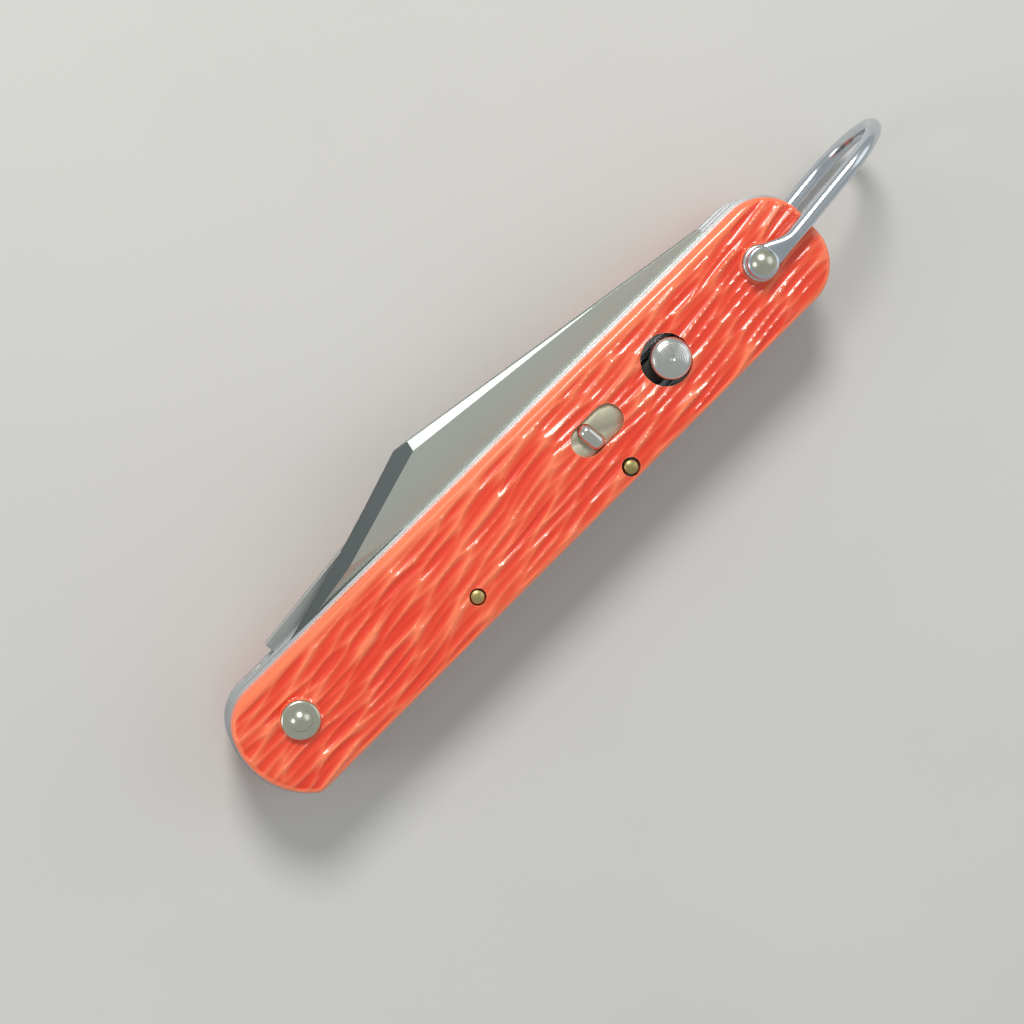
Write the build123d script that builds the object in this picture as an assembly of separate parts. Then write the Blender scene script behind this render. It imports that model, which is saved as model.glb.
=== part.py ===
from build123d import *
import math
import os

# Folding knife with two blades in one handle, millimetres.
# Modelled with the hook-end pivot at x = 0, y = 0 and the rear scale's face at z = 0.
# +X runs to the bail end, +Y to the side the blades come out of, +Z to the button side.

# handle
pivot_span = 84.1          # hook pivot to main pivot
handle_width = 16.3        # width of the scales
hook_end_reach = 8.9       # scale beyond the hook pivot
bail_end_reach = 8.85      # scale beyond the main pivot
pivot_offset = 0.85        # pivots nearer the blade side than the handle's middle line
end_corner = 6.4           # rounding of the scale at the bail end
hook_end_radius = 10.7     # broad curve of the scale's hook end
hook_end_side = 0.4        # middle of that curve from the pivot, to the back
hook_end_corner = 6.0      # rounding from that curve into the blade side
back_corner = 1.5          # small corner where that curve meets the back
scale_thick = 3.2
scale_rounding = 1.2       # rounded outer edge of a scale
liner_thick = 0.9
liner_proud = 0.35         # liner standing out past the scale

# blades
clip_blade_thick = 2.4
hook_blade_thick = 2.0
side_play = 0.05           # gap on each flat of a blade
clip_rise = 8.5            # slope of the closed clip blade's spine, degrees
hook_rise = 6.5            # slope of the closed hook blade's spine, degrees
clip_spine_inset = 1.45    # open spine inside the liner's back edge
hook_spine_inset = 0.7
shoulder_step = 0.9        # tang below the spine
clip_edge_inset = 0.8      # open cutting edge inside the scale's blade side
hook_edge_inset = 2.8
clip_shoulder_reach = 3.1  # pivot to the square shoulder
hook_shoulder_reach = 4.4
tip_setback = 4.1          # clip blade's point short of the hook pivot
clip_run = 27.1            # length of the clipped part of the spine
clip_hollow = 0.35         # sag of the clipped part from a straight line
tip_drop = 12.8            # point below the spine
belly_run = 19.0           # curved part of the cutting edge
heel_reach = 9.0           # pivot to the start of the cutting edge
hook_blade_length = 46.0
hook_nose_radius = 6.0
hook_mouth_radius = 3.2
hook_mouth_reach = 35.0    # pivot to the middle of the hook's mouth
edge_land = 0.15           # half thickness left at a cutting edge
grind_depth = 5.6
swedge_depth = 2.1
swedge_lead = 6.0          # swedge starts before the clip's corner
spine_bevel_depth = 1.5    # bevel along the spine at the clip's corner
spine_bevel_land = 0.55    # half thickness left at the bevelled spine
spine_bevel_run = 33.0     # bevel fades out over this length
ricasso_run = 14.0         # unground part of a blade past its pivot

# springs, collars and pins between the liners
leaf_run = 14.0            # thin part of each back bar
tang_play = 0.15
stop_play = 0.1
bar_wall = 0.6
pin_diameter = 1.9
pin_sink = 0.3             # pin end below the scale's face
hook_end_pin_x = 27.2
hook_end_pin_back = 3.95   # pin from the scale's back edge
button_end_pin_gap = 30.7  # pin to main pivot
button_end_pin_back = 1.8
hook_end_pin_play = 0.2
button_end_pin_play = 0.35
collar_radius = 3.2
collar_gap = 0.6

# pivots
main_shaft_radius = 1.6
main_neck_radius = 0.95
main_dome_radius = 1.7
main_dome_rise = 0.8
hook_shaft_radius = 1.5
hook_neck_radius = 1.1
hook_dome_radius = 1.5
hook_dome_rise = 0.7
hook_washer_radius = 2.6
hook_washer_thick = 0.7
running_fit = 0.05         # radial gap of everything that turns on a pin
face_gap = 0.03            # gap between flat faces that turn on each other

# bail
bail_washer_radius = 2.5
bail_washer_thick = 0.8
bail_wire_radius = 1.05
bail_eye_radius = 2.2
bail_eye_thick = 1.2
bail_reach = 26.3          # pivot to the outside of the tip
bail_lean = 5.8            # resting lean to the blade side, degrees
bail_leg_offset = 0.9      # wire beside the middle of its eye, to the back

# button, lever and lock
mechanism_offset = 0.6     # line of the button, lock and safety beside the pivots, to the back
button_hole_gap = 17.7     # button hole to main pivot
button_hole_side = 0.2     # button hole off that line, to the blade side
button_hole_radius = 3.5
button_shift = 0.45        # button sits nearer the pivot than its hole
button_radius = 2.8
button_height = 2.1
button_sink = 0.7          # button's underside below the scale's face
button_rounding = 0.7
stem_radius = 1.3
stem_seat = 0.8
fulcrum_gap = 12.8         # fulcrum to main pivot
lock_pin_gap = 5.5         # lock pin to main pivot
lock_pin_radius = 0.8
lock_engagement = 0.6      # lock pin inside the tang
lock_hole_play = 0.1
tail_reach = 8.4           # lever tail past the fulcrum
lever_lift = 0.45          # lever above the liner
lever_thick = 0.5
lever_width = 3.2
hub_radius = 0.65
fulcrum_pin_radius = 0.35
lug_thick = 0.5
lug_gap = 0.1
lug_foot = 0.25
leaf_gap = 0.05
leaf_thick = 0.3
leaf_width = 8.0
leaf_window = 5.2
leaf_anchor_gap = 22.6     # leaf rivets to main pivot
anchor_radius = 0.7
anchor_spread = 6.2        # across the two leaf rivets
leaf_margin = 0.9
pocket_depth = 2.2         # hollow under the front scale
pocket_gap = 0.3

# safety
safety_gap = 30.65         # middle of the safety recess to main pivot
recess_length = 8.2
recess_width = 4.4
thumb_rest = 1.2           # thumb piece from the recess middle, to the hook end
thumb_across = 4.0
thumb_along = 2.4
thumb_proud = 0.8
thumb_turn = 6.5
thumb_rounding = 0.9
safety_travel = 3.1
plate_thick = 0.4
plate_reach_hook = 2.3
plate_reach_button = 9.2
plate_play = 0.05
safety_stem_radius = 0.6
safety_stem_seat = 0.9
slider_depth = 1.0         # slider below the scale's face, seen in the recess
slider_thick = 0.4
slider_lap = 0.4           # slider under the scale past the recess

# stack, from the rear scale's face upward
rear_liner_z = scale_thick
hook_layer_z = rear_liner_z + liner_thick
hook_layer = hook_blade_thick + 2 * side_play
centre_liner_z = hook_layer_z + hook_layer
clip_layer_z = centre_liner_z + liner_thick
clip_layer = clip_blade_thick + 2 * side_play
front_liner_z = clip_layer_z + clip_layer
front_scale_z = front_liner_z + liner_thick
front_face = front_scale_z + scale_thick

# values that follow from the ones above
half_width = handle_width / 2
scale_back = -half_width - pivot_offset
scale_front = half_width - pivot_offset
back_edge = scale_back - liner_proud
clip_spine = -back_edge - clip_spine_inset
hook_spine = -back_edge - hook_spine_inset
clip_tang_radius = clip_spine - shoulder_step
hook_tang_radius = hook_spine - shoulder_step
clip_edge = scale_front - clip_edge_inset
hook_edge = scale_front - hook_edge_inset
clip_length = pivot_span - tip_setback
hook_pin_y = scale_back + hook_end_pin_back
button_pin_x = pivot_span - button_end_pin_gap
button_pin_y = scale_back + button_end_pin_back
pin_radius = pin_diameter / 2
hook_bar_top = hook_pin_y + pin_radius + bar_wall
button_bar_top = button_pin_y + pin_radius + bar_wall
collar_bar_top = -collar_radius - collar_gap
bail_eye_z = front_face + bail_washer_thick + 2 * face_gap
main_head_z = bail_eye_z + bail_eye_thick + face_gap
hook_head_z = front_face + hook_washer_thick
bail_leg_z = bail_eye_z + bail_eye_thick / 2
mid_z = front_face / 2
fulcrum_x = pivot_span - fulcrum_gap
lever_z = front_scale_z + lever_lift
hub_z = lever_z + lever_thick / 2
leaf_z = lever_z + lever_thick + leaf_gap
button_hole_x = pivot_span - button_hole_gap
button_x = button_hole_x + button_shift
button_base_z = front_face - button_sink
lock_pin_x = pivot_span - lock_pin_gap
lock_end_radius = lock_pin_radius + 1.2
anchor_x = pivot_span - leaf_anchor_gap
tail_x = fulcrum_x - tail_reach
recess_x = pivot_span - safety_gap
thumb_x = recess_x - thumb_rest
plate_z = front_scale_z + face_gap
slider_top = front_face - slider_depth
slider_z = slider_top - slider_thick
slider_from = recess_x - recess_length / 2 - safety_travel - slider_lap
slider_to = recess_x + recess_length / 2 + slider_lap
plate_width = recess_width - 2 * plate_play
mechanism_y = -mechanism_offset
clip_travel = 180 - clip_rise


def disc(radius, height, x=0, y=0, z=0):
    return Pos(x, y, z) * Cylinder(radius, height, align=(Align.CENTER, Align.CENTER, Align.MIN))


def block(x_from, x_to, y_from, y_to, z_from, z_to):
    middle = Pos((x_from + x_to) / 2, (y_from + y_to) / 2, (z_from + z_to) / 2)
    return middle * Box(x_to - x_from, y_to - y_from, z_to - z_from)


def strip(x_from, x_to, half, z_from, z_to):
    # block centred on the line of the button, lock and safety
    return block(x_from, x_to, mechanism_y - half, mechanism_y + half, z_from, z_to)


def layer(shape, z, thick):
    return Pos(0, 0, z) * extrude(shape, thick)


def dome(radius, rise):
    # spherical cap standing on z = 0
    ball = (radius ** 2 + rise ** 2) / (2 * rise)
    return (Pos(0, 0, rise - ball) * Sphere(ball)) & disc(radius + 1, rise + 1)


def both_faces(piece):
    # the same piece again, turned over onto the rear face
    return piece.mirror(Plane.XY.offset(mid_z))


def outline(proud):
    # bail end evenly rounded, hook end one broad curve that meets the back at a corner
    bail_x = pivot_span + bail_end_reach
    broad_x = hook_end_radius - hook_end_reach
    round_y = scale_front - hook_end_corner
    apart = hook_end_radius - hook_end_corner
    round_x = broad_x - math.sqrt(apart ** 2 - (round_y + hook_end_side) ** 2)
    blend_x = broad_x + (round_x - broad_x) * hook_end_radius / apart
    blend_y = (round_y + hook_end_side) * hook_end_radius / apart - hook_end_side
    back_x = broad_x - math.sqrt(hook_end_radius ** 2 - (scale_back + hook_end_side) ** 2)
    round_in = TangentArc((round_x, scale_front), (blend_x, blend_y), tangent=(-1, 0))
    broad = TangentArc((blend_x, blend_y), (back_x, scale_back), tangent=round_in % 1)
    rest = Polyline((back_x, scale_back), (bail_x, scale_back), (bail_x, scale_front), (round_x, scale_front))
    face = make_face(round_in + broad + rest)
    face = fillet(face.vertices().sort_by_distance((back_x, scale_back, 0))[0], back_corner)
    face = fillet(face.vertices().group_by(Axis.X)[-1], end_corner)
    return offset(face, proud) if proud else face


def recess_outline():
    return Pos(recess_x, mechanism_y) * SlotOverall(recess_length, recess_width)


def scale_blank():
    blank = layer(outline(0), front_scale_z, scale_thick)
    return fillet(blank.edges().group_by(Axis.Z)[-1], scale_rounding)


def scale_holes():
    holes = disc(hook_neck_radius, front_face, 0, 0)
    holes += disc(main_neck_radius, front_face, pivot_span, 0)
    holes += disc(pin_radius + hook_end_pin_play, front_face, hook_end_pin_x, hook_pin_y)
    holes += disc(pin_radius + button_end_pin_play, front_face, button_pin_x, button_pin_y)
    return holes


def rear_scale():
    return both_faces(scale_blank()) - scale_holes()


def lever_pocket():
    hook_side = anchor_x - leaf_margin - pocket_gap
    pivot_side = lock_pin_x + lock_end_radius + pocket_gap
    half = leaf_width / 2 + pocket_gap
    return strip(hook_side, pivot_side, half, front_scale_z, front_scale_z + pocket_depth)


def safety_channel():
    hook_side = thumb_x - plate_reach_hook - pocket_gap
    half = recess_width / 2
    depth = plate_thick + 2 * face_gap
    return strip(hook_side, anchor_x, half, front_scale_z, front_scale_z + depth)


def slider_channel():
    hook_side = slider_from - pocket_gap
    button_side = slider_to + safety_travel + pocket_gap
    return strip(hook_side, button_side, recess_width / 2, slider_z - face_gap, slider_top + face_gap)


def front_scale():
    scale = scale_blank() - scale_holes()
    hole_y = mechanism_y + button_hole_side
    scale -= disc(button_hole_radius, scale_thick, button_hole_x, hole_y, front_scale_z)
    scale -= layer(recess_outline(), front_scale_z, scale_thick)
    scale -= lever_pocket()
    scale -= safety_channel()
    scale -= slider_channel()
    return scale


def liner(z):
    plate = layer(outline(liner_proud), z, liner_thick)
    plate -= disc(hook_shaft_radius, liner_thick, 0, 0, z)
    plate -= disc(main_shaft_radius, liner_thick, pivot_span, 0, z)
    plate -= disc(pin_radius, liner_thick, hook_end_pin_x, hook_pin_y, z)
    plate -= disc(pin_radius, liner_thick, button_pin_x, button_pin_y, z)
    return plate


def front_liner():
    plate = liner(front_liner_z)
    # room for the lock pin, and for the lever's tail as it goes down
    plate -= disc(lock_pin_radius + lock_hole_play, liner_thick, lock_pin_x, mechanism_y, front_liner_z)
    half = lever_width / 2 + pocket_gap
    window_end = button_x + stem_radius
    plate -= strip(tail_x - pocket_gap, window_end, half, front_liner_z, front_scale_z)
    return plate


def back_bar(profile, z, thick):
    bar = layer(make_face(Polyline(*profile, close=True)), z, thick)
    bar &= layer(outline(liner_proud), z, thick)
    bar -= disc(pin_radius, thick, hook_end_pin_x, hook_pin_y, z)
    bar -= disc(pin_radius, thick, button_pin_x, button_pin_y, z)
    return bar


def drive_spring():
    # back bar of the clip blade's layer; its thin leaf ends as the open blade's stop
    leaf_top = -clip_tang_radius - tang_play
    leaf_end = pivot_span + clip_shoulder_reach - stop_play
    far_end = -hook_end_reach - end_corner
    profile = [
        (far_end, collar_bar_top),
        (collar_radius + collar_gap, collar_bar_top),
        (hook_end_pin_x - leaf_run, hook_bar_top),
        (hook_end_pin_x + pin_diameter, hook_bar_top),
        (button_pin_x, button_bar_top),
        (button_pin_x + pin_diameter, button_bar_top),
        (pivot_span - leaf_run, leaf_top),
        (leaf_end, leaf_top),
        (leaf_end, back_edge - 1),
        (far_end, back_edge - 1),
    ]
    return back_bar(profile, clip_layer_z, clip_layer)


def hook_backspring():
    leaf_top = -hook_tang_radius - tang_play
    leaf_end = -hook_shoulder_reach + stop_play
    far_end = pivot_span + bail_end_reach + end_corner
    profile = [
        (leaf_end, leaf_top),
        (leaf_run, leaf_top),
        (hook_end_pin_x - 2 * pin_diameter, hook_bar_top),
        (hook_end_pin_x + pin_diameter, hook_bar_top),
        (button_pin_x, button_bar_top),
        (pivot_span - leaf_run, button_bar_top),
        (pivot_span - collar_radius - collar_gap, collar_bar_top),
        (far_end, collar_bar_top),
        (far_end, back_edge - 1),
        (leaf_end, back_edge - 1),
    ]
    return back_bar(profile, hook_layer_z, hook_layer)


def grind(half_thick, land, depth, start, length):
    # pair of wedges that leave the land at the edge line y = 0, blade on the +y side
    wedge = Polyline((-9, land), (0, land), (depth, half_thick),
                     (depth, half_thick + 1), (-9, half_thick + 1), close=True)
    upper = extrude(Plane.YZ.offset(start) * make_face(wedge), length)
    return upper + upper.mirror(Plane.XY)


def clip_outline():
    # blade lying along +X with its spine on the -Y side
    shoulder = (clip_shoulder_reach, -clip_spine)
    clip_corner = (clip_length - clip_run, -clip_spine)
    point = (clip_length, tip_drop - clip_spine)
    hollow = (clip_length - clip_run / 2, tip_drop / 2 - clip_spine + clip_hollow)
    belly = (clip_length - belly_run, clip_edge)
    heel = (heel_reach, clip_edge)
    root = (clip_shoulder_reach, clip_edge / 2)
    sides = Polyline(belly, heel, root, shoulder, clip_corner)
    clip = ThreePointArc(clip_corner, hollow, point)
    curve = TangentArc(belly, point, tangent=(1, 0))
    return make_face(sides + clip + curve)


def clip_blade():
    half = clip_blade_thick / 2
    body = extrude(clip_outline(), half, both=True)
    clip_slope = math.degrees(math.atan2(tip_drop, clip_run))
    corner = Pos(clip_length - clip_run, -clip_spine, 0)
    edge_cut = grind(half, edge_land, grind_depth, ricasso_run, clip_length)
    swedge_cut = grind(half, edge_land, swedge_depth, -swedge_lead, clip_run * 1.1 + swedge_lead)
    bevel_length = spine_bevel_run + swedge_lead
    bevel_cut = grind(half, spine_bevel_land, spine_bevel_depth, -spine_bevel_run, bevel_length)
    bevel_slope = math.degrees(math.atan2(spine_bevel_depth, spine_bevel_run))
    blade = body - Pos(0, clip_edge, 0) * Rot(180, 0, 0) * edge_cut
    blade -= corner * Rot(0, 0, clip_slope) * swedge_cut
    blade -= corner * Rot(0, 0, bevel_slope) * bevel_cut
    blade += extrude(Circle(clip_tang_radius), half, both=True)
    blade -= extrude(Circle(main_shaft_radius + running_fit), clip_blade_thick, both=True)
    # lock pin holes for the open and the closed blade
    depth = lock_engagement + lock_hole_play
    hole = disc(lock_pin_radius + lock_hole_play, depth + 1, -lock_pin_gap, mechanism_y, half - depth)
    blade -= hole
    blade -= Rot(0, 0, -clip_travel) * hole
    blade = Rot(0, 0, clip_travel) * blade
    return Pos(pivot_span, 0, clip_layer_z + clip_layer / 2) * blade


def hook_outline():
    nose_x = hook_blade_length - hook_nose_radius
    body = make_face(Polyline(
        (hook_shoulder_reach, hook_spine),
        (nose_x, hook_spine),
        (hook_blade_length, hook_spine - hook_nose_radius),
        (hook_blade_length, -hook_edge + hook_nose_radius / 2),
        (hook_blade_length - hook_nose_radius / 2, -hook_edge),
        (heel_reach, -hook_edge),
        (hook_shoulder_reach, -hook_edge / 2),
        close=True))
    nose = Pos(nose_x, hook_spine - hook_nose_radius) * Circle(hook_nose_radius)
    return body + nose


def hook_mouth(grow):
    # slanting open throat that makes the hook
    throat = Pos(0, -hook_spine) * Rectangle(2 * (hook_mouth_radius + grow), 2 * hook_spine)
    mouth = Circle(hook_mouth_radius + grow) + throat
    return Pos(hook_mouth_reach, hook_spine - 2 * hook_mouth_radius - 1) * Rot(0, 0, -25) * mouth


def hook_blade():
    half = hook_blade_thick / 2
    blade = extrude(hook_outline(), half, both=True)
    blade -= extrude(hook_mouth(0), half, both=True)
    # sharpened inside of the mouth
    land = edge_land + 0.35
    rim = extrude(hook_mouth(0.8), half - land)
    blade -= Pos(0, 0, land) * rim
    blade -= Pos(0, 0, -half) * rim
    blade += extrude(Circle(hook_tang_radius), half, both=True)
    blade -= extrude(Circle(hook_shaft_radius + running_fit), half, both=True)
    return Pos(0, 0, hook_layer_z + hook_layer / 2) * Rot(0, 0, hook_rise) * blade


def collar(shaft_radius, x, z, thick):
    return disc(collar_radius, thick, x, 0, z) - disc(shaft_radius, thick, x, 0, z)


def rivet(shaft_radius, neck_radius, head_radius, head_rise, head_z, x):
    shaft = disc(shaft_radius, front_scale_z - rear_liner_z, 0, 0, rear_liner_z)
    reach = head_z - mid_z
    neck = disc(neck_radius, 2 * reach, 0, 0, mid_z - reach)
    head = Pos(0, 0, head_z) * dome(head_radius, head_rise)
    return Pos(x, 0, 0) * (shaft + neck + head + both_faces(head))


def washer(radius, thick, hole, x, z):
    ring = disc(radius, thick, x, 0, z) - disc(hole, thick, x, 0, z)
    return chamfer(ring.edges().group_by(Axis.Z)[-1].sort_by(SortBy.LENGTH)[-1], thick / 4)


def hook_washer():
    return washer(hook_washer_radius, hook_washer_thick, hook_neck_radius, 0, front_face)


def bail_washer():
    bore = main_neck_radius + running_fit
    return washer(bail_washer_radius, bail_washer_thick, bore, pivot_span, front_face + face_gap)


def spring_pin(x, y):
    return disc(pin_radius, front_face - 2 * pin_sink, x, y, pin_sink)


def bail():
    # wire bent in an upright plane, flattened to an eye at each end
    side = -bail_leg_offset
    bend = bail_leg_z - mid_z
    bend_x = bail_reach - bail_wire_radius - bend
    start = (bail_eye_radius - bail_wire_radius / 2, side, bail_leg_z)
    front_bend = (bend_x, side, bail_leg_z)
    rear_bend = (bend_x, side, mid_z - bend)
    end = (start[0], side, mid_z - bend)
    path = Line(start, front_bend)
    path += ThreePointArc(front_bend, (bend_x + bend, side, mid_z), rear_bend)
    path += Line(rear_bend, end)
    wire = sweep(Plane(origin=start, z_dir=(1, 0, 0)) * Circle(bail_wire_radius), path=path)
    eye = disc(bail_eye_radius, bail_eye_thick, 0, 0, bail_eye_z)
    bore = disc(main_neck_radius + running_fit, front_face * 2, 0, 0, -front_face / 2)
    # the wire is flattened to the eye's thickness over the washer
    shave = disc(bail_washer_radius + face_gap, 1, 0, 0, bail_eye_z + bail_eye_thick)
    under = disc(bail_washer_radius + face_gap, 1, 0, 0, bail_eye_z - 1)
    body = wire + eye + both_faces(eye)
    body = body - bore - shave - under - both_faces(shave) - both_faces(under)
    return Pos(pivot_span, 0, 0) * Rot(0, 0, bail_lean) * body


def button_cap():
    cap = disc(button_radius, button_height, button_x, mechanism_y, button_base_z)
    cap = fillet(cap.edges().group_by(Axis.Z)[-1], button_rounding)
    dimple = Pos(button_x, mechanism_y, button_base_z + button_height) * Sphere(0.35)
    return cap - dimple - disc(stem_radius, stem_seat, button_x, mechanism_y, button_base_z)


def button_stem():
    foot = lever_z + lever_thick
    return disc(stem_radius, button_base_z + stem_seat - foot, button_x, mechanism_y, foot)


def cross_pin(radius, length):
    # lies across the handle at the lever's fulcrum
    return Pos(fulcrum_x, mechanism_y, hub_z) * Rot(90, 0, 0) * Cylinder(radius, length)


def lock_lever():
    bar = strip(tail_x, lock_pin_x, lever_width / 2, lever_z, lever_z + lever_thick)
    pad = disc(lock_end_radius, lever_thick, lock_pin_x, mechanism_y, lever_z)
    hub = cross_pin(hub_radius, lever_width)
    bore = cross_pin(fulcrum_pin_radius + running_fit, leaf_width)
    eye = disc(lock_pin_radius + pocket_gap, lever_thick, lock_pin_x, mechanism_y, lever_z)
    return bar + pad + hub - bore - eye


def fulcrum_pin():
    return cross_pin(fulcrum_pin_radius, lever_width + 2 * (lug_gap + lug_thick))


def fulcrum_bracket():
    inside = lever_width / 2 + lug_gap
    outside = inside + lug_thick
    lug_half = hub_radius + 0.2
    strip_x = fulcrum_x + lug_half
    foot = strip(fulcrum_x - lug_half, strip_x + 1.2, outside, front_scale_z, front_scale_z + lug_foot)
    lugs = strip(fulcrum_x - lug_half, strip_x, outside, front_scale_z, hub_z + hub_radius)
    gap = strip(fulcrum_x - 2 * lug_half, strip_x, inside, front_scale_z, hub_z + 2 * hub_radius)
    return foot + lugs - gap - fulcrum_pin()


def anchor_places():
    return [mechanism_y + side * anchor_spread / 2 for side in (-1, 1)]


def leaf_anchors():
    # two headed studs that hold the lock spring above the liner
    studs = []
    for y in anchor_places():
        stud = disc(anchor_radius, leaf_z + leaf_thick - front_scale_z, anchor_x, y, front_scale_z)
        stud += disc(anchor_radius + pocket_gap / 2, leaf_thick, anchor_x, y, leaf_z + leaf_thick)
        studs.append(stud)
    return Compound(children=studs)


def lock_spring():
    start = anchor_x - leaf_margin
    end = lock_pin_x + lock_end_radius
    leaf = strip(start, end, leaf_width / 2, leaf_z, leaf_z + leaf_thick)
    window_end = lock_pin_x - lock_end_radius
    leaf -= strip(anchor_x + leaf_margin, window_end, leaf_window / 2, leaf_z, leaf_z + leaf_thick)
    for y in anchor_places():
        leaf -= disc(anchor_radius, leaf_thick, anchor_x, y, leaf_z)
    return leaf - disc(lock_pin_radius, leaf_thick, lock_pin_x, mechanism_y, leaf_z)


def lock_pin():
    foot = front_liner_z - side_play - lock_engagement
    return disc(lock_pin_radius, leaf_z + leaf_thick - foot, lock_pin_x, mechanism_y, foot)


def safety_thumb():
    bar = block(-thumb_along / 2, thumb_along / 2, -thumb_across / 2, thumb_across / 2,
                slider_top, front_face + thumb_proud)
    bar = fillet(bar.edges().filter_by(Axis.Z), thumb_rounding)
    bar = fillet(bar.edges().group_by(Axis.Z)[-1], thumb_rounding * 0.7)
    return Pos(thumb_x, mechanism_y, 0) * Rot(0, 0, thumb_turn) * bar - safety_stem()


def safety_slider():
    plate = strip(slider_from, slider_to, plate_width / 2, slider_z, slider_top)
    return plate - safety_stem()


def safety_plate():
    # tongue that slides under the lever's tail
    hook_side = thumb_x - plate_reach_hook
    button_side = thumb_x + plate_reach_button
    plate = strip(hook_side, button_side, plate_width / 2, plate_z, plate_z + plate_thick)
    return plate - safety_stem()


def safety_stem():
    height = slider_top + safety_stem_seat - plate_z
    return disc(safety_stem_radius, height, thumb_x, mechanism_y, plate_z)


pieces = {
    "front_scale": front_scale(),
    "rear_scale": rear_scale(),
    "front_liner": front_liner(),
    "centre_liner": liner(centre_liner_z),
    "rear_liner": liner(rear_liner_z),
    "clip_blade": clip_blade(),
    "hook_blade": hook_blade(),
    "drive_spring": drive_spring(),
    "hook_backspring": hook_backspring(),
    "hook_end_collar": collar(hook_shaft_radius, 0, clip_layer_z, clip_layer),
    "bail_end_collar": collar(main_shaft_radius, pivot_span, hook_layer_z, hook_layer),
    "main_pivot_rivet": rivet(main_shaft_radius, main_neck_radius, main_dome_radius,
                              main_dome_rise, main_head_z, pivot_span),
    "hook_pivot_rivet": rivet(hook_shaft_radius, hook_neck_radius, hook_dome_radius,
                              hook_dome_rise, hook_head_z, 0),
    "front_hook_washer": hook_washer(),
    "rear_hook_washer": both_faces(hook_washer()),
    "front_bail_washer": bail_washer(),
    "rear_bail_washer": both_faces(bail_washer()),
    "hook_end_spring_pin": spring_pin(hook_end_pin_x, hook_pin_y),
    "button_end_spring_pin": spring_pin(button_pin_x, button_pin_y),
    "bail": bail(),
    "button_cap": button_cap(),
    "button_stem": button_stem(),
    "lock_lever": lock_lever(),
    "fulcrum_pin": fulcrum_pin(),
    "fulcrum_bracket": fulcrum_bracket(),
    "lock_spring_studs": leaf_anchors(),
    "lock_spring": lock_spring(),
    "lock_pin": lock_pin(),
    "safety_thumb": safety_thumb(),
    "safety_slider": safety_slider(),
    "safety_plate": safety_plate(),
    "safety_stem": safety_stem(),
}

# origin: middle of the whole knife's footprint, at its lowest point
corners = [piece.bounding_box() for piece in pieces.values()]
shift_x = -(min(box.min.X for box in corners) + max(box.max.X for box in corners)) / 2
shift_y = -(min(box.min.Y for box in corners) + max(box.max.Y for box in corners)) / 2
shift_z = -min(box.min.Z for box in corners)

os.makedirs("parts", exist_ok=True)
for name, piece in pieces.items():
    export_step(Pos(shift_x, shift_y, shift_z) * piece, f"parts/{name}.step")

print("pivot origin moved by", round(shift_x, 4), round(shift_y, 4), round(shift_z, 4))
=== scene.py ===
import math
import random

import bmesh
import bpy
import numpy as np
from mathutils import Matrix, Vector
from mathutils.kdtree import KDTree


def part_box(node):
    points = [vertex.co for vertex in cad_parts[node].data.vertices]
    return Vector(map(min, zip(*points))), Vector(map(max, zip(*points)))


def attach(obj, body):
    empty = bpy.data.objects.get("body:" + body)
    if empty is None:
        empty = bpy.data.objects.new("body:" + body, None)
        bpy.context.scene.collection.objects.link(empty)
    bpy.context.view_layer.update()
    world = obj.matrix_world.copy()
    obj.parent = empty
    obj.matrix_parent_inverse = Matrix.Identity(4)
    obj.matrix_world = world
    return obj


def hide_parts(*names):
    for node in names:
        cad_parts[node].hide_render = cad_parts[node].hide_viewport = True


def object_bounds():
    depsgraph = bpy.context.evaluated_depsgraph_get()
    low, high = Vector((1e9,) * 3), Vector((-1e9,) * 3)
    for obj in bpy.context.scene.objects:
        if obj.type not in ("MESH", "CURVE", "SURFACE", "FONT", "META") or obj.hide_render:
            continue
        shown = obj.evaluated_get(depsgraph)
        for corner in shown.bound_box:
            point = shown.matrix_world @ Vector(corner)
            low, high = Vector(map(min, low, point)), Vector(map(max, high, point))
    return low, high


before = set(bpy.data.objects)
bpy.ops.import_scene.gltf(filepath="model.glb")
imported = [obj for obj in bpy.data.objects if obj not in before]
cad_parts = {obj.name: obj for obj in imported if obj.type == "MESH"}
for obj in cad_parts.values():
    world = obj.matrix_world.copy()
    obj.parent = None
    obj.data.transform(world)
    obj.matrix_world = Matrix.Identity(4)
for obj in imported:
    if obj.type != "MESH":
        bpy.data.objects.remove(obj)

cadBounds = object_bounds()
mm = 0.001


def centreOf(node):
    low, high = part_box(node)
    return (low + high) / 2


# the knife's own landmarks, all read from the frame
hookPivot = centreOf("hook_pivot_rivet")
mainPivot = centreOf("main_pivot_rivet")
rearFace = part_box("rear_scale")[0].z
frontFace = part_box("front_scale")[1].z
middleZ = (rearFace + frontFace) / 2
print("frame loaded,", len(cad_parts), "nodes")


# ---- camera, lights and floor
view = {
    "fromHook": (10.192, 49.945, 324.533),  # mm from the hook pivot on the rear face
    "turn": (-3.01582946, -10.0173211, -44.15446193),
    "lens": 86.078,
    "sensor": 36.0,
}
camera = bpy.data.objects.new("camera", bpy.data.cameras.new("camera"))
bpy.context.scene.collection.objects.link(camera)
camera.data.sensor_width = view["sensor"]
camera.data.lens = view["lens"]
camera.data.clip_start = 0.01
camera.location = Vector((hookPivot.x, hookPivot.y, rearFace)) + Vector(view["fromHook"]) * mm
camera.rotation_euler = [math.radians(angle) for angle in view["turn"]]
bpy.context.scene.camera = camera

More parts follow.
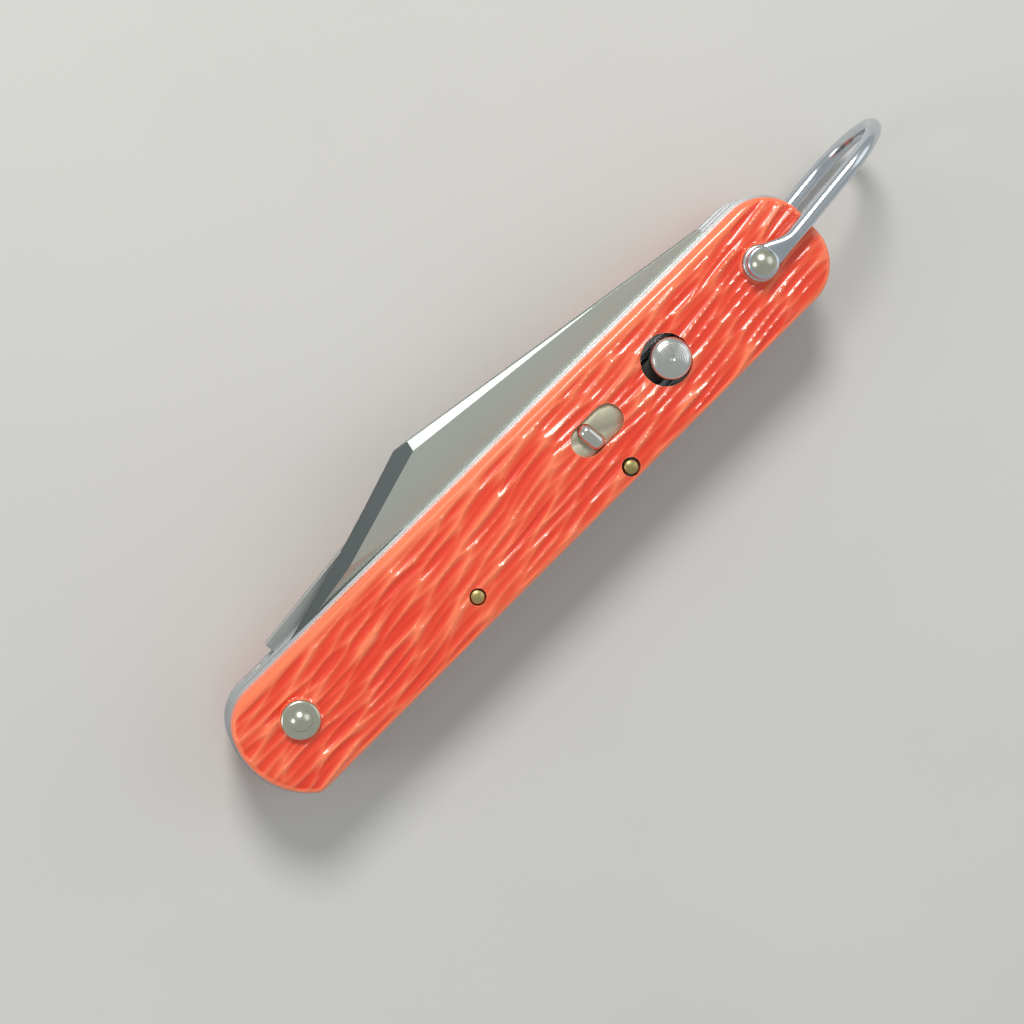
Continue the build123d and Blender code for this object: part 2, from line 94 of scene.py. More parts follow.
studio = {
    "key": ((0.22, 0.45, 0.60), 0.24, 3.7, (1.0, 0.98, 0.94)),   # place, size, watts, colour
    "fill": ((0.55, -0.25, 0.50), 0.60, 0.7, (0.92, 0.96, 1.0)),
    "top": ((-0.62, 0.40, 0.42), 0.30, 0.9, (0.96, 0.98, 1.0)),
    "sky": (0.50, 0.52, 0.52),
    "skyStrength": 0.86,
}


def placeLight(name, place, size, power, colour):
    light = bpy.data.objects.new(name, bpy.data.lights.new(name, "AREA"))
    bpy.context.scene.collection.objects.link(light)
    light.data.shape = "DISK"
    light.data.size = size
    light.data.energy = power
    light.data.color = colour
    light.location = place
    light.rotation_euler = (-Vector(place)).to_track_quat("-Z", "Y").to_euler()


for name in ("key", "fill", "top"):
    placeLight(name, *studio[name])
world = bpy.data.worlds.new("studio")
bpy.context.scene.world = world
world.use_nodes = True
world.node_tree.nodes["Background"].inputs["Color"].default_value = (*studio["sky"], 1)
world.node_tree.nodes["Background"].inputs["Strength"].default_value = studio["skyStrength"]
bpy.context.scene.view_settings.view_transform = "Standard"
print("camera and lights set")


# ---- shader sums
def feed(tree, socket, value):
    if isinstance(value, Wire):
        tree.links.new(value.socket, socket)
    elif isinstance(value, (tuple, list)) and len(value) == 3 and socket.type == "RGBA":
        socket.default_value = (*value, 1)
    else:
        socket.default_value = value


class Wire:
    # one output of a node, which sums can be written with
    def __init__(self, tree, socket):
        self.tree = tree
        self.socket = socket

    def sum(self, operation, first, second=0.0):
        node = self.tree.nodes.new("ShaderNodeMath")
        node.operation = operation
        feed(self.tree, node.inputs[0], first)
        feed(self.tree, node.inputs[1], second)
        return Wire(self.tree, node.outputs[0])

    def __add__(self, other):
        return self.sum("ADD", self, other)

    def __radd__(self, other):
        return self.sum("ADD", other, self)

    def __sub__(self, other):
        return self.sum("SUBTRACT", self, other)

    def __rsub__(self, other):
        return self.sum("SUBTRACT", other, self)

    def __mul__(self, other):
        return self.sum("MULTIPLY", self, other)

    def __rmul__(self, other):
        return self.sum("MULTIPLY", other, self)


class Finish:
    # a material while it is being wired
    def __init__(self, name):
        self.material = bpy.data.materials.new(name)
        self.material.use_nodes = True
        self.tree = self.material.node_tree
        self.tree.nodes.clear()
        self.place = self.node("ShaderNodeTexCoord", output="Object")

    def node(self, kind, settings=None, values=None, output=0):
        made = self.tree.nodes.new(kind)
        for key, value in (settings or {}).items():
            setattr(made, key, value)
        for key, value in (values or {}).items():
            feed(self.tree, made.inputs[key], value)
        return Wire(self.tree, made.outputs[output])

    def stretched(self, scale, origin=(0, 0, 0), turn=0.0):
        moved = self.node("ShaderNodeVectorMath", {"operation": "SUBTRACT"}, {0: self.place, 1: origin})
        if turn:
            moved = self.node("ShaderNodeVectorRotate", {"rotation_type": "Z_AXIS"},
                              {"Vector": moved, "Angle": math.radians(turn)})
        return self.node("ShaderNodeVectorMath", {"operation": "MULTIPLY"}, {0: moved, 1: scale})

    def noise(self, place, detail=3.0, roughness=0.5):
        return self.node("ShaderNodeTexNoise", {},
                         {"Vector": place, "Scale": 1.0, "Detail": detail, "Roughness": roughness})

    def rise(self, wire, low, high):
        return self.node("ShaderNodeMapRange", {"interpolation_type": "SMOOTHSTEP"},
                         {"Value": wire, "From Min": low, "From Max": high})

    def blend(self, factor, first, second):
        return self.node("ShaderNodeMix", {"data_type": "RGBA"}, {0: factor, 6: first, 7: second}, output=2)

    def bump(self, height, distance, strength=1.0):
        return self.node("ShaderNodeBump", {}, {"Strength": strength, "Distance": distance, "Height": height})

    def close(self, **values):
        named = {key.replace("_", " "): value for key, value in values.items()}
        surface = self.node("ShaderNodeBsdfPrincipled", {}, named)
        out = self.tree.nodes.new("ShaderNodeOutputMaterial")
        self.tree.links.new(surface.socket, out.inputs["Surface"])
        return self.material


# ---- materials
def jiggedPlastic(name):
    finish = Finish(name)
    depth = finish.node("ShaderNodeAttribute", {"attribute_name": "gouge"}, output=2)
    mottle = finish.noise(finish.stretched((90, 220, 220)), 3)
    grain = finish.noise(finish.stretched((700, 2600, 2600)), 4, 0.6)
    scuff = finish.rise(finish.noise(finish.stretched((260, 1500, 1500)), 5, 0.65), 0.60, 0.72)
    # painted shade and light: the colour runs from a light tint on the ridges and the plain rim to a dark one
    # deep in the gouges, as though shade lay in the gouges and light fell on the ridges
    colour = finish.blend(finish.rise(depth, 0.12, 0.80), (0.99, 0.225, 0.10), (0.80, 0.040, 0.013))
    colour = finish.blend(finish.rise(mottle, 0.3, 0.7) * 0.25, colour, (0.95, 0.11, 0.035))
    colour = finish.blend(scuff * (1 - depth) * 0.22, colour, (1.0, 0.42, 0.26))
    height = grain * 0.5 + mottle * 0.5
    return finish.close(Base_Color=colour, Roughness=0.22 + grain * 0.10 + scuff * 0.12, Coat_Weight=0.40,
                        Coat_Roughness=0.10, Normal=finish.bump(height, 0.00002, 0.4))


def metal(name, colour, shade, roughness, streak, wear=0.35, turn=0.0, distance=0.000006, grime=0.25):
    finish = Finish(name)
    lines = finish.noise(finish.stretched(streak, turn=turn), 4, 0.6)
    patches = finish.noise(finish.stretched((120, 120, 120)), 4, 0.55)
    specks = finish.rise(finish.noise(finish.stretched((1400, 1400, 1400)), 2, 0.5), 0.66, 0.78)
    tint = finish.blend(finish.rise(patches, 0.35, 0.72) * wear, colour, shade)
    tint = finish.blend(lines * 0.22, tint, shade)
    tint = finish.blend(specks * grime, tint, tuple(value * 0.35 for value in shade))
    rough = roughness + (lines - 0.5) * 0.16 + patches * 0.08 + specks * 0.15
    return finish.close(Base_Color=tint, Metallic=1.0, Roughness=rough,
                        Normal=finish.bump(lines + specks * -0.5, distance, 0.6))


def bladeFinish(name, turn):
    # satin flats, with painted reflections on the ground clip, tinted dark, and on the bevelled spine, tinted
    # apart from the flats; both are picked out by which way their faces turn
    finish = Finish(name)
    tilt = finish.node("ShaderNodeTexCoord", output="Normal")
    across = finish.node("ShaderNodeSeparateXYZ", {}, {0: tilt}, output=0)
    upward = finish.node("ShaderNodeSeparateXYZ", {}, {0: tilt}, output=1)
    # masks by which way the faces turn, for the painted reflections on the ground clip and the spine bevel
    clipPaintedReflection = finish.rise(0 - across, 0.045, 0.10)
    spinePaintedReflection = finish.rise(upward, 0.16, 0.30) * (1 - clipPaintedReflection)
    lines = finish.noise(finish.stretched((300, 4800, 300), turn=turn), 4, 0.6)
    cloud = finish.noise(finish.stretched((90, 90, 90)), 3, 0.5)
    specks = finish.rise(finish.noise(finish.stretched((900, 900, 900)), 2, 0.5), 0.68, 0.80)
    tint = finish.blend(lines * 0.30, (0.50, 0.53, 0.48), (0.42, 0.45, 0.41))
    tint = finish.blend(finish.rise(cloud, 0.3, 0.7) * 0.22, tint, (0.44, 0.48, 0.45))
    # painted reflections: the spine bevel and the ground clip take darker tints in place of what they would
    # reflect
    tint = finish.blend(spinePaintedReflection * 0.9, tint, (0.30, 0.345, 0.325))
    tint = finish.blend(clipPaintedReflection * 0.92, tint, (0.075, 0.09, 0.095))
    tint = finish.blend(specks * 0.12, tint, (0.22, 0.22, 0.20))
    rough = 0.43 + (lines - 0.5) * 0.10 + cloud * 0.05
    return finish.close(Base_Color=tint, Metallic=1.0, Roughness=rough,
                        Normal=finish.bump(lines, 0.0000022, 0.5))


def turnedSteel(name, axis, colour, shade, pitch, roughness):
    # faint rings left by the lathe round an upright axis
    finish = Finish(name)
    flat = finish.node("ShaderNodeVectorMath", {"operation": "SUBTRACT"}, {0: finish.place, 1: axis})
    flat = finish.node("ShaderNodeVectorMath", {"operation": "MULTIPLY"}, {0: flat, 1: (1, 1, 0)})
    radius = finish.node("ShaderNodeVectorMath", {"operation": "LENGTH"}, {0: flat}, output=1)
    wobble = finish.noise(finish.stretched((500, 500, 500)), 3)
    rings = finish.node("ShaderNodeMath", {"operation": "SINE"},
                        {0: (radius + wobble * 0.00006) * (2 * math.pi / pitch)})
    markWeight = finish.rise(finish.noise(finish.stretched((900, 900, 900)), 4, 0.6), 0.45, 0.75)
    tint = finish.blend(markWeight * 0.45, colour, shade)
    tint = finish.blend((rings + 1) * 0.10, tint, shade)
    return finish.close(Base_Color=tint, Metallic=1.0, Roughness=roughness + markWeight * 0.18 + rings * 0.03,
                        Normal=finish.bump(rings + markWeight * 0.8, 0.000010, 0.5))


def paleFloor(name):
    finish = Finish(name)
    cloud = finish.noise(finish.stretched((14, 14, 14)), 4)
    grain = finish.noise(finish.stretched((900, 900, 900)), 3)
    tint = finish.blend(finish.rise(cloud, 0.3, 0.7) * 0.5, (0.62, 0.61, 0.59), (0.58, 0.57, 0.55))
    return finish.close(Base_Color=tint, Roughness=0.55 + grain * 0.15,
                        Normal=finish.bump(grain, 0.00003, 0.3))


plastic = jiggedPlastic("jiggedPlastic")
bladeSteel = bladeFinish("bladeSteel", 8.5)
linerSteel = metal("linerSteel", (0.50, 0.53, 0.54), (0.30, 0.32, 0.33), 0.40, (500, 500, 900),
                    distance=0.0000015)
hookSteel = metal("hookSteel", (0.58, 0.60, 0.58), (0.42, 0.44, 0.43), 0.34, (260, 5200, 300),
                  wear=0.30, turn=-6.5, distance=0.000004, grime=0.2)
springSteel = metal("springSteel", (0.34, 0.35, 0.35), (0.18, 0.19, 0.19), 0.38, (300, 900, 900),
                    wear=0.5, distance=0.000002)
collarSteel = metal("collarSteel", (0.50, 0.50, 0.49), (0.32, 0.32, 0.31), 0.34, (300, 300, 3000))
leverSteel = metal("leverSteel", (0.085, 0.085, 0.08), (0.035, 0.035, 0.03), 0.50, (300, 2400, 2400),
                   wear=0.5)
nickelSilver = metal("nickelSilver", (0.66, 0.66, 0.54), (0.42, 0.43, 0.34), 0.20, (500, 500, 500),
                     wear=0.4, distance=0.000010)
washerSteel = metal("washerSteel", (0.62, 0.63, 0.60), (0.38, 0.39, 0.38), 0.26, (900, 900, 900),
                    wear=0.5, distance=0.000008)
pinBrass = metal("pinBrass", (0.58, 0.47, 0.20), (0.30, 0.24, 0.10), 0.30, (1800, 1800, 600),
                 wear=0.6, distance=0.000020, grime=0.5)
bailSteel = metal("bailSteel", (0.66, 0.70, 0.74), (0.40, 0.45, 0.52), 0.17, (160, 2600, 2600))
thumbSteel = metal("thumbSteel", (0.72, 0.71, 0.66), (0.46, 0.44, 0.38), 0.16, (700, 260, 700),
                   wear=0.3, turn=6.5)
plateSteel = metal("plateSteel", (0.60, 0.58, 0.45), (0.40, 0.38, 0.29), 0.48, (500, 2200, 500),
                   wear=0.5, distance=0.000003, grime=0.3)
print("materials made")


# ---- building blocks
def addPiece(name, verts, faces, material, body, nodes, sharp=38):
    mesh = bpy.data.meshes.new(name)
    mesh.from_pydata([tuple(v) for v in verts], [], [tuple(f) for f in faces])
    piece = bpy.data.objects.new(name, mesh)
    bpy.context.scene.collection.objects.link(piece)
    mesh.materials.append(material)
    dress(piece, sharp)
    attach(piece, body)
    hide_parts(*nodes)
    return piece


def dress(piece, sharp=38):
    # smooth shading with crisp edges where two faces meet at more than this angle
    form = bmesh.new()
    form.from_mesh(piece.data)
    bmesh.ops.recalc_face_normals(form, faces=form.faces)
    for face in form.faces:
        face.smooth = True
    for edge in form.edges:
        crisp = len(edge.link_faces) == 2 and edge.calc_face_angle(0) > math.radians(sharp)
        edge.smooth = not crisp
    form.to_mesh(piece.data)
    form.free()


def lathe(profile, axis, segments=96):
    # profile runs from the top middle outwards and down, as (radius, height) in metres
    verts, faces = [], []
    for radius, height in profile:
        for step in range(segments):
            angle = 2 * math.pi * step / segments
            verts.append((axis.x + radius * math.cos(angle), axis.y + radius * math.sin(angle), height))
    for ring in range(len(profile) - 1):
        for step in range(segments):
            after = (step + 1) % segments
            faces.append((ring * segments + step, (ring + 1) * segments + step,
                          (ring + 1) * segments + after, ring * segments + after))
    return verts, faces


def weld(piece, distance):
    # joins points that lie closer together than this
    form = bmesh.new()
    form.from_mesh(piece.data)
    bmesh.ops.remove_doubles(form, verts=form.verts, dist=distance)
    form.to_mesh(piece.data)
    form.free()


def turned(name, profile, axis, material, body, nodes, segments=96):
    verts, faces = lathe(profile, axis, segments)
    piece = addPiece(name, verts, faces, material, body, nodes)
    weld(piece, 0.0000005)
    dress(piece)


def domed(radius, top, rise, steps=14):
    # points of a round cap from its middle out to its rim
    ball = (radius ** 2 + rise ** 2) / (2 * rise)
    reach = math.asin(min(1.0, radius / ball))
    return [(ball * math.sin(reach * step / steps), top - ball * (1 - math.cos(reach * step / steps)))
            for step in range(steps + 1)]


def overTurned(profile, half=middleZ):
    # the same profile again on the rear face
    return [(radius, 2 * half - height) for radius, height in reversed(profile)]


def easedCopy(name, node, material, body, width, sharp):
    # the node's own form with its sharp edges eased, as on stoned metal
    piece = bpy.data.objects.new(name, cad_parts[node].data.copy())
    bpy.context.scene.collection.objects.link(piece)
    piece.data.materials.clear()
    piece.data.materials.append(material)
    form = bmesh.new()
    form.from_mesh(piece.data)
    bmesh.ops.remove_doubles(form, verts=form.verts, dist=0.000002)
    bmesh.ops.dissolve_limit(form, angle_limit=math.radians(1.0), verts=form.verts, edges=form.edges)
    form.to_mesh(piece.data)
    form.free()
    ease = piece.modifiers.new("ease", "BEVEL")
    ease.width = width
    ease.segments = 2
    ease.limit_method = "ANGLE"
    ease.angle_limit = math.radians(32)
    ease.use_clamp_overlap = True
    bpy.context.view_layer.update()
    made = bpy.data.meshes.new_from_object(piece.evaluated_get(bpy.context.evaluated_depsgraph_get()))
    piece.modifiers.clear()
    piece.data = made
    dress(piece, sharp)
    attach(piece, body)
    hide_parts(node)


# ---- jigged scales
jigging = {
    "corner": 6.4,          # mm, the bail end's rounding
    "hookBroad": 10.7,      # broad curve of the hook end
    "hookSide": 0.45,       # its middle from the scale's middle line
    "hookRound": 6.0,
    "backCorner": 1.5,
    "step": 0.19,           # mesh spacing along the outline
    "edgeRound": 1.3,
    "crown": 0.34,          # how much lower the long sides are than the middle
    "rowPitch": 1.30,
    "strokePitch": 7.6,
    "strokeLength": (8.5, 15.0),
    "strokeWidth": (1.5, 2.2),
    "strokeDepth": (0.34, 0.54),
    "lean": (5.5, 2.6),     # degrees from the handle's length, and its scatter
    "rimLow": 0.15,
    "rimHigh": 0.85,
    "seat": 0.10,           # flat left round a washer
    "rowStart": 1.5,        # first row's distance outside the edge
    "overrun": 4,           # gouges start and end this far past the ends
    "scatter": 0.35,        # across the row
    "bow": 0.012,
    "plainEdge": (1.9, 0.8),   # the gouges fade between these distances from the blade side
    "plainShare": 0.9,
    "washerReach": (2.6, 2.5),
    "swell": 0.05,
    "shy": 0.004,              # kept inside the scale's own box
    "thinnest": 0.6,
    "weld": 0.018,
}


def arcPoints(centre, radius, start, end, step):
    count = max(4, round(abs(end - start) * radius / step))
    return [(centre[0] + radius * math.cos(start + (end - start) * i / count),
             centre[1] + radius * math.sin(start + (end - start) * i / count)) for i in range(count)]


def linePoints(start, end, step):
    count = max(1, round(math.dist(start, end) / step))
    return [(start[0] + (end[0] - start[0]) * i / count, start[1] + (end[1] - start[1]) * i / count)
            for i in range(count)]


def outlineLoop(length, width, shy, step):
    # the scale's outline from the front corner of its bail end, round by the hook end and back, in mm
    right, top, bottom = length / 2 - shy, width / 2 - shy, shy - width / 2
    left = shy - length / 2
    bailCorner = jigging["corner"] - shy
    broad, rounding = jigging["hookBroad"] - shy, jigging["hookRound"] - shy
    broadAt = (left + broad, jigging["hookSide"])
    roundY = top - rounding
    roundAt = (broadAt[0] - math.sqrt((broad - rounding) ** 2 - (roundY - broadAt[1]) ** 2), roundY)
    blend = math.atan2(roundAt[1] - broadAt[1], roundAt[0] - broadAt[0])
    small = jigging["backCorner"]
    smallY = bottom + small
    smallAt = (broadAt[0] - math.sqrt((broad - small) ** 2 - (smallY - broadAt[1]) ** 2), smallY)
    leave = math.atan2(smallAt[1] - broadAt[1], smallAt[0] - broadAt[0]) + 2 * math.pi
    ends = left + top, right - top          # both long sides have the same points between these
    points = linePoints((right - bailCorner, top), (ends[1], top), step)
    points += linePoints((ends[1], top), (ends[0], top), step)
    points += linePoints((ends[0], top), (roundAt[0], top), step)
    points += arcPoints(roundAt, rounding, math.pi / 2, blend, step)
    points += arcPoints(broadAt, broad, blend, leave, step)
    points += arcPoints(smallAt, small, leave, 1.5 * math.pi, step)
    points += linePoints((smallAt[0], bottom), (ends[0], bottom), step)
    points += linePoints((ends[0], bottom), (ends[1], bottom), step)
    points += linePoints((ends[1], bottom), (right - bailCorner, bottom), step)
    points += arcPoints((right - bailCorner, bottom + bailCorner), bailCorner, -math.pi / 2, 0, step)
    points += linePoints((right, bottom + bailCorner), (right, top - bailCorner), step)
    points += arcPoints((right - bailCorner, top - bailCorner), bailCorner, 0, math.pi / 2, step)
    return np.array(points)


def pillLoop(length, width, step):
    # a bar with round ends, for the thumb piece
    half, radius = (length - width) / 2, width / 2
    points = linePoints((half, radius), (-half, radius), step)
    points += arcPoints((-half, 0), radius, math.pi / 2, 1.5 * math.pi, step / 2)
    points += linePoints((-half, -radius), (half, -radius), step)
    points += arcPoints((half, 0), radius, -math.pi / 2, math.pi / 2, step / 2)
    return np.array(points)


def middleLine(outer, half):
    # where each outline point goes as the loops close on the middle line
    ends = outer[:, 0].min() + half, outer[:, 0].max() - half
    return np.stack([np.clip(outer[:, 0], *ends), np.zeros(len(outer))], 1)


def insideDistance(points, outer):
    # how far each point lies from the outline, worked out against its short straight pieces
    tree = KDTree(len(outer))
    for i, (x, y) in enumerate(outer):
        tree.insert((x, y, 0), i)
    tree.balance()
    after, before = np.roll(outer, -1, 0), np.roll(outer, 1, 0)
    found = np.array([tree.find((x, y, 0))[1] for x, y in points])
    best = np.full(len(points), 1e9)
    for other in (after, before):
        start, run = outer[found], other[found] - outer[found]
        part = np.clip(((points - start) * run).sum(1) / np.maximum((run ** 2).sum(1), 1e-12), 0, 1)
        best = np.minimum(best, np.hypot(*(points - start - run * part[:, None]).T))
    return best


def smooth(value, low, high):
    part = np.clip((value - low) / (high - low), 0, 1)
    return part * part * (3 - 2 * part)


def gougeDepth(x, y, length, width, seed):
    # overlapping long gouges; where two meet, a ridge is left standing
    chance = random.Random(seed)
    wave = (0.30 * np.sin(x / 8.3 + seed) + 0.16 * np.sin(x / 4.3 + y / 3.4 + 2 * seed)
            + 0.05 * np.sin(x / 1.9 - y / 2.1 + seed))
    warped = y + wave
    depth = np.zeros(len(x))
    rows = int(width / jigging["rowPitch"]) + 4
    for row in range(rows):
        rowY = -width / 2 - jigging["rowStart"] + row * jigging["rowPitch"]
        start = -length / 2 - jigging["overrun"] + chance.uniform(0, jigging["strokePitch"])
        while start < length / 2 + jigging["overrun"]:
            lean = math.radians(chance.gauss(*jigging["lean"]))
            half = chance.uniform(*jigging["strokeLength"]) / 2
            broad = chance.uniform(*jigging["strokeWidth"]) / 2
            deep = chance.uniform(*jigging["strokeDepth"])
            placeY = rowY + chance.uniform(-jigging["scatter"], jigging["scatter"])
            bow = chance.uniform(-jigging["bow"], jigging["bow"])
            near = np.abs(x - start) < half + 1
            dx = x[near] - start
            dy = warped[near] - placeY
            along = (dx * math.cos(lean) + dy * math.sin(lean)) / half
            across = (dy * math.cos(lean) - dx * math.sin(lean) + bow * dx * dx) / broad
            taper = np.clip(1 - along ** 2, 0, 1)
            cut = deep * taper ** 0.6 * np.clip(1 - (across / np.maximum(taper, 0.02) ** 0.35) ** 2, 0, 1)
            depth[near] = np.maximum(depth[near], cut)
            start += jigging["strokePitch"] * chance.uniform(0.75, 1.25)
    return depth


def prism(points, low, high):
    count = len(points)
    verts = [(x, y, low) for x, y in points] + [(x, y, high) for x, y in points]
    faces = [tuple(reversed(range(count))), tuple(range(count, 2 * count))]
    faces += [(i, (i + 1) % count, count + (i + 1) % count, count + i) for i in range(count)]
    return verts, faces


def circlePoints(place, radius, segments=72):
    return [(place[0] + radius * math.cos(2 * math.pi * i / segments),
             place[1] + radius * math.sin(2 * math.pi * i / segments)) for i in range(segments)]


def slotPoints(place, length, width, segments=32):
    half = (length - width) / 2
    points = []
    for side, start in ((1, -math.pi / 2), (-1, math.pi / 2)):
        for i in range(segments + 1):
            angle = start + math.pi * i / segments
            points.append((place[0] + side * half + width / 2 * math.cos(angle),
                           place[1] + width / 2 * math.sin(angle)))
    return points


def boxPoints(low, high):
    return [(low[0], low[1]), (high[0], low[1]), (high[0], high[1]), (low[0], high[1])]


def carve(piece, groups):
    # cuts prisms out of the piece, group after group, since those of one group stand apart
    for group in groups:
        verts, faces = [], []
        for points, low, high in group:
            more, sides = prism(points, low, high)
            faces += [tuple(i + len(verts) for i in side) for side in sides]
            verts += more
        mesh = bpy.data.meshes.new("cutter")
        mesh.from_pydata(verts, [], faces)
        cutter = bpy.data.objects.new("cutter", mesh)
        bpy.context.scene.collection.objects.link(cutter)
        cut = piece.modifiers.new("cut", "BOOLEAN")
        cut.operation = "DIFFERENCE"
        cut.solver = "MANIFOLD"
        cut.object = cutter
        bpy.context.view_layer.update()
        made = bpy.data.meshes.new_from_object(piece.evaluated_get(bpy.context.evaluated_depsgraph_get()))
        piece.modifiers.clear()
        piece.data = made
        bpy.data.objects.remove(cutter)


rivets = {
    "hookNeck": 1.1, "hookShaft": 1.5, "hookDome": (1.5, 0.7),   # mm radii, and a dome's radius and rise
    "mainNeck": 0.95, "mainShaft": 1.6, "mainDome": (1.7, 0.8),
    "pinDome": 0.16, "pinRim": 0.12, "pinSide": 0.30,
}

holes = {
    "buttonHole": (3.5, (-0.45, 0.2)),   # mm radius, and its place from the button's axis
    "recess": (8.2, 4.4, 1.2),           # length, width, and its middle from the thumb piece
    "pinPlay": (0.2, 0.35),              # hook-end pin, button-end pin
    "pocket": (22.6, 0.9, 8.6, 2.2),     # from main pivot, margin, width, height
    "channel": 0.46,
    "play": 0.3,                         # round the lever, the slider and the plate
    "travel": 3.4,                       # room for the slider's stroke
    "sliderPlay": 0.03,
}


def scaleInsets(half):
    # loops close together over the rounded edge, then evenly to the middle line
    insets = [0, 0.03, 0.08, 0.15, 0.24, 0.35, 0.48, 0.63, 0.80, 0.98, 1.16, 1.34]
    inset = 1.50
    while inset < half - 0.05:
        insets.append(inset)
        inset += 0.15
    return insets + [half]


def scaleCuts(low, high, side):
    # holes for the pins and rivets, and on the front the button's, the safety's and the lever's room
    below, above = low.z - 2 * mm, high.z + 2 * mm
    through = []
    for pinNode, play in zip(("hook_end_spring_pin", "button_end_spring_pin"), holes["pinPlay"]):
        radius = (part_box(pinNode)[1].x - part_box(pinNode)[0].x) / 2 + play * mm
        through.append((circlePoints(centreOf(pinNode), radius), below, above))
    through.append((circlePoints(hookPivot, rivets["hookNeck"] * mm), below, above))
    through.append((circlePoints(mainPivot, rivets["mainNeck"] * mm), below, above))
    if side < 0:
        return [through]
    button, thumb = centreOf("button_cap"), centreOf("safety_thumb")
    radius, shift = holes["buttonHole"]
    place = (button.x + shift[0] * mm, button.y + shift[1] * mm)
    through.append((circlePoints(place, radius * mm), below, above))
    long, wide, off = holes["recess"]
    through.append((slotPoints((thumb.x + off * mm, thumb.y), long * mm, wide * mm), below, above))
    fromPivot, margin, broad, tall = holes["pocket"]
    play, lineY = holes["play"] * mm, button.y
    startX = mainPivot.x - (fromPivot + margin) * mm - play
    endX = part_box("lock_lever")[1].x + play
    front, back = lineY - wide / 2 * mm, lineY + wide / 2 * mm
    pocket = boxPoints((startX, lineY - broad / 2 * mm), (endX, lineY + broad / 2 * mm))
    slider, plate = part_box("safety_slider"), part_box("safety_plate")
    sliderRoom = boxPoints((slider[0].x - play, front), (slider[1].x + holes["travel"] * mm, back))
    plateRoom = boxPoints((plate[0].x - play, front), (startX + 0.5 * mm, back))
    lift = holes["sliderPlay"] * mm
    return [through, [(pocket, below, low.z + tall * mm)],
            [(sliderRoom, slider[0].z - lift, slider[1].z + lift)],
            [(plateRoom, below, low.z + holes["channel"] * mm)]]


def jiggedScale(name, node, side, seed):
    low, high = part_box(node)
    middle = (low + high) / 2
    length, width = (high.x - low.x) / mm, (high.y - low.y) / mm
    thick = (high.z - low.z) / mm
    shy = jigging["shy"]
    half = width / 2 - shy
    outer = outlineLoop(length, width, shy, jigging["step"])
    inner = middleLine(outer, half)
    loops = [outer + (inner - outer) * (inset / half) for inset in scaleInsets(half)]
    flat = np.concatenate(loops)
    x, y = flat[:, 0], flat[:, 1]
    edge = insideDistance(flat, outer)

    # the plain surface's fall below the top, and where the gouges fade out
    edgeRound = jigging["edgeRound"]
    near = np.clip(edgeRound - edge, 0, edgeRound)
    drop = edgeRound - np.sqrt(np.maximum(edgeRound ** 2 - near ** 2, 0))
    drop += jigging["crown"] * (np.abs(y) / (width / 2)) ** 2.2
    fadeFrom, fadeTo = jigging["plainEdge"]
    bladeSide = smooth(y, width / 2 - fadeFrom, width / 2 - fadeTo)
    mask = smooth(edge, jigging["rimLow"], jigging["rimHigh"]) * (1 - jigging["plainShare"] * bladeSide)
    for pivot, reach in zip((hookPivot, mainPivot), jigging["washerReach"]):
        away = np.hypot(x - (pivot.x - middle.x) / mm, y - (pivot.y - middle.y) / mm)
        mask *= smooth(away, reach - 0.15, reach + jigging["seat"] + 0.15)
        drop *= smooth(away, reach - 0.2, reach + jigging["seat"] + 0.2) * 0.96 + 0.04
    cuts = gougeDepth(x, y * side, length, width, seed) * mask
    swell = jigging["swell"] * np.sin(x / 5.1 + seed) * np.sin(y / 2.7) * mask + jigging["swell"]
    heights = np.maximum(thick - shy - drop - cuts - np.abs(swell), jigging["thinnest"])

    # loops of the carved face, then the flat back
    top = middle.z + side * (heights - thick / 2) * mm
    floorZ = middle.z - side * thick / 2 * mm
    count, base = len(outer), len(flat)
    verts = list(zip(middle.x + x * mm, middle.y + y * mm, top))
    verts += [(middle.x + px * mm, middle.y + py * mm, floorZ) for px, py in outer]
    faces = []
    for ring in range(len(loops) - 1):
        for i in range(count):
            after = (i + 1) % count
            faces.append((ring * count + i, ring * count + after,
                          (ring + 1) * count + after, (ring + 1) * count + i))
    faces += [(base + i, base + (i + 1) % count, (i + 1) % count, i) for i in range(count)]
    faces.append(tuple(range(base, base + count)))
    mesh = bpy.data.meshes.new(name)
    mesh.from_pydata(verts, [], faces)
    # the gouge depth on each point, which the plastic's colour reads to paint shade into the gouges and light
    # onto the ridges
    mark = mesh.attributes.new("gouge", "FLOAT", "POINT")
    markWeight = np.concatenate([cuts / jigging["strokeDepth"][1], np.zeros(count)])
    mark.data.foreach_set("value", markWeight.astype(np.float32))
    mesh.materials.append(plastic)
    piece = bpy.data.objects.new(name, mesh)
    bpy.context.scene.collection.objects.link(piece)
    weld(piece, jigging["weld"] * mm)
    dress(piece, 34)
    carve(piece, scaleCuts(low, high, side))
    dress(piece, 34)
    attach(piece, "handle")
    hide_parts(node)
    print(name, len(piece.data.vertices), "points")


jiggedScale("frontScale", "front_scale", 1, 11)
jiggedScale("rearScale", "rear_scale", -1, 29)
print("scales jigged")


